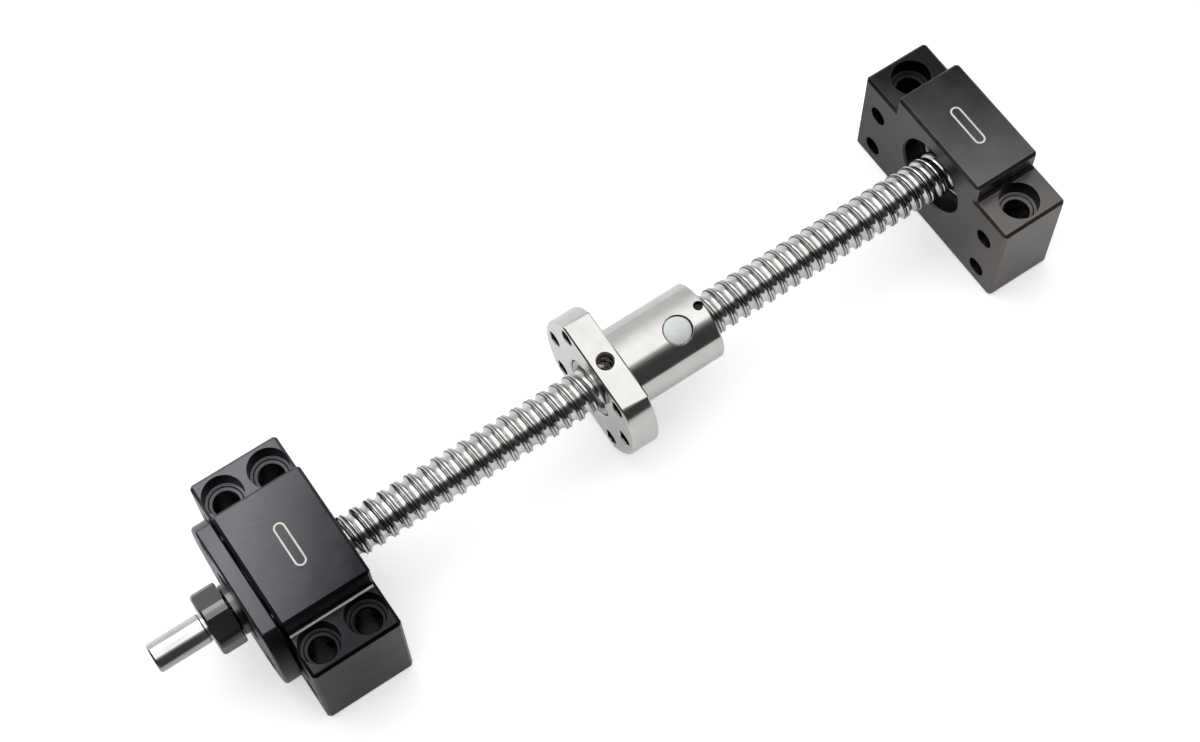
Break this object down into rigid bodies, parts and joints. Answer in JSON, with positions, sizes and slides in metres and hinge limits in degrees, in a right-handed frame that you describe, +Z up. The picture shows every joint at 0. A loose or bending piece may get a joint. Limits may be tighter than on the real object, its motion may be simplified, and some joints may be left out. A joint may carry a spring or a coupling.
{
  "type": "ball screw assembly",
  "caption": "Rolled ball screw with a flanged ball nut, carried in a black fixed bearing support and a black floating bearing support.",
  "frame": {"origin": "on the mounting plane, under the screw's axis, halfway between the drive shaft's tip and the floating support's outer face", "axes": "+X along the screw from the drive end to the floating support, +Z up from the mounting plane, +Y to the left seen from the drive end"},
  "size_m": [0.258, 0.06, 0.039],
  "materials": {
    "black_housing": "black oxide over ground steel, satin",
    "black_hardware": "black oxide, satin",
    "rolled_steel": "rolled and polished bearing steel",
    "ground_steel": "ground bearing steel, satin",
    "bearing_steel": "polished bearing steel",
    "spring_steel": "phosphated spring steel",
    "brass": "plain brass",
    "white_plastic": "natural white acetal, slightly translucent",
    "black_rubber": "moulded black rubber"
  },
  "bodies": {
    "supports": {"fixed_housing": "black_housing", "fixed_lid": "black_housing", "lid_screw_1": "black_hardware", "lid_screw_2": "black_hardware", "lid_screw_3": "black_hardware", "lid_screw_4": "black_hardware", "lid_seal": "black_rubber", "housing_seal": "black_rubber", "fixed_bearing_a_outer_race": "bearing_steel", "fixed_bearing_b_outer_race": "bearing_steel", "floating_housing": "black_housing", "floating_bearing_outer_race": "bearing_steel", "floating_bearing_front_shield": "bearing_steel", "floating_bearing_back_shield": "bearing_steel"},
    "screw": {"screw_shaft": "rolled_steel", "fixed_bearing_a_inner_race": "bearing_steel", "fixed_bearing_b_inner_race": "bearing_steel", "outer_collar": "black_hardware", "inner_collar": "ground_steel", "lock_nut": "black_hardware", "lock_screw": "black_hardware", "lock_pad": "brass", "floating_bearing_inner_race": "bearing_steel", "snap_ring": "spring_steel"},
    "nut": {"nut_body": "ground_steel", "return_cap_1": "white_plastic", "return_cap_2": "white_plastic", "return_cap_3": "white_plastic", "ball_circuit_1": "bearing_steel", "ball_circuit_2": "bearing_steel", "ball_circuit_3": "bearing_steel", "flange_wiper": "white_plastic", "end_wiper": "white_plastic", "wiper_screw": "black_hardware"},
    "fixed_cage_a": {"fixed_bearing_a_balls": "bearing_steel"},
    "fixed_cage_b": {"fixed_bearing_b_balls": "bearing_steel"},
    "floating_cage": {"floating_bearing_balls": "bearing_steel"}
  },
  "joints": [
    {"name": "screw_spin", "type": "hinge", "parent": "supports", "child": "screw", "pos_m": [0, 0, 0.022], "axis": [1, 0, 0], "range_deg": [-6500, 6500]},
    {"name": "nut_travel", "type": "slide", "parent": "supports", "child": "nut", "axis": [1, 0, 0], "range_m": [-0.072, 0.072]},
    {"name": "fixed_cage_a_spin", "type": "hinge", "parent": "supports", "child": "fixed_cage_a", "pos_m": [0, 0, 0.022], "axis": [1, 0, 0], "range_deg": [-2500, 2500]},
    {"name": "fixed_cage_b_spin", "type": "hinge", "parent": "supports", "child": "fixed_cage_b", "pos_m": [0, 0, 0.022], "axis": [1, 0, 0], "range_deg": [-2500, 2500]},
    {"name": "floating_cage_spin", "type": "hinge", "parent": "supports", "child": "floating_cage", "pos_m": [0, 0, 0.022], "axis": [1, 0, 0], "range_deg": [-2400, 2400]}
  ],
  "couplings": [
    {"joint": "screw_spin", "follows": "nut_travel", "rad_per_m": -1570.8},
    {"joint": "fixed_cage_a_spin", "follows": "nut_travel", "rad_per_m": -605.38},
    {"joint": "fixed_cage_b_spin", "follows": "nut_travel", "rad_per_m": -605.38},
    {"joint": "floating_cage_spin", "follows": "nut_travel", "rad_per_m": -577.58}
  ]
}
